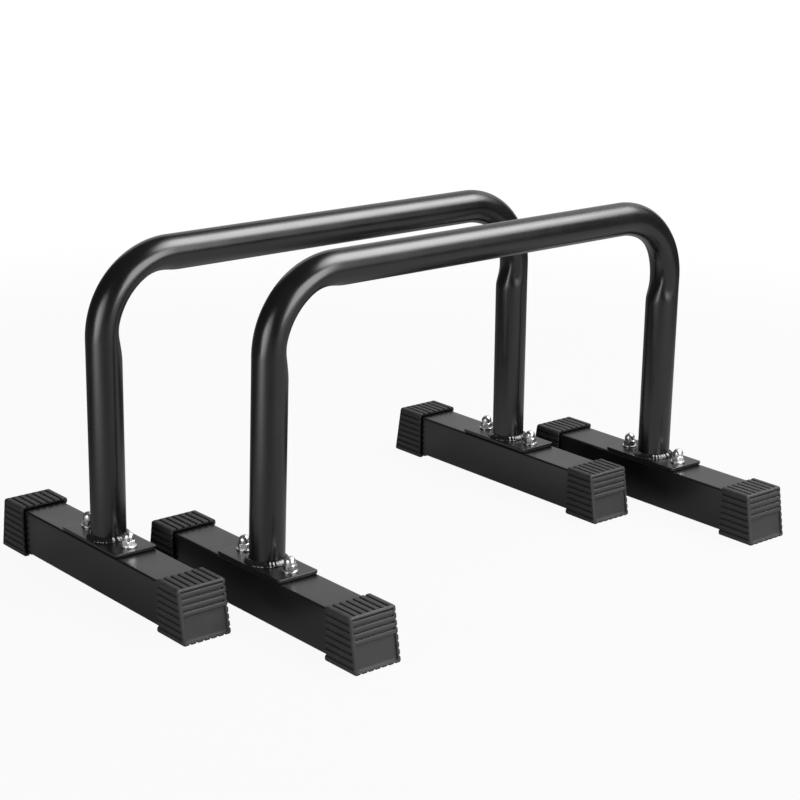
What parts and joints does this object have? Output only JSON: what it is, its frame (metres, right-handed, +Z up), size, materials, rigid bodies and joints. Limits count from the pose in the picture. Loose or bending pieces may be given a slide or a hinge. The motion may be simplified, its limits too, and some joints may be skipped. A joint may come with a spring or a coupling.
{
  "type": "dip station",
  "caption": "Pair of low, free-standing dip bars, each a bent round tube on plates bolted to square feet with ribbed rubber boots.",
  "frame": {"origin": "on the floor, under the middle of the pair's bounding box", "axes": "+X along the grips, +Y from the front bar towards the rear bar, +Z up"},
  "size_m": [0.7298, 0.5314, 0.3751],
  "materials": {
    "tube_paint": "satin black powder coat",
    "foot_paint": "satin black powder coat",
    "weld_paint": "glossy where the black coat lies on the weld",
    "boot_rubber": "matte moulded rubber",
    "zinc_plate": "bright zinc or nickel plate"
  },
  "bodies": {
    "front_bar": {"front_bent_tube": "tube_paint", "front_left_leg_weld": "weld_paint", "front_left_base_plate": "foot_paint", "front_left_foot_tube": "foot_paint", "front_left_front_boot": "boot_rubber", "front_left_back_boot": "boot_rubber", "front_left_carriage_bolts": "zinc_plate", "front_left_washers": "zinc_plate", "front_left_cap_nuts": "zinc_plate", "front_right_leg_weld": "weld_paint", "front_right_base_plate": "foot_paint", "front_right_foot_tube": "foot_paint", "front_right_front_boot": "boot_rubber", "front_right_back_boot": "boot_rubber", "front_right_carriage_bolts": "zinc_plate", "front_right_washers": "zinc_plate", "front_right_cap_nuts": "zinc_plate"},
    "rear_bar": {"rear_bent_tube": "tube_paint", "rear_left_leg_weld": "weld_paint", "rear_left_base_plate": "foot_paint", "rear_left_foot_tube": "foot_paint", "rear_left_front_boot": "boot_rubber", "rear_left_back_boot": "boot_rubber", "rear_left_carriage_bolts": "zinc_plate", "rear_left_washers": "zinc_plate", "rear_left_cap_nuts": "zinc_plate", "rear_right_leg_weld": "weld_paint", "rear_right_base_plate": "foot_paint", "rear_right_foot_tube": "foot_paint", "rear_right_front_boot": "boot_rubber", "rear_right_back_boot": "boot_rubber", "rear_right_carriage_bolts": "zinc_plate", "rear_right_washers": "zinc_plate", "rear_right_cap_nuts": "zinc_plate"}
  },
  "joints": [
    {"name": "bar_spacing", "type": "slide", "parent": "front_bar", "child": "rear_bar", "axis": [0, 1, 0], "range_m": [-0.11, 0.4]}
  ]
}
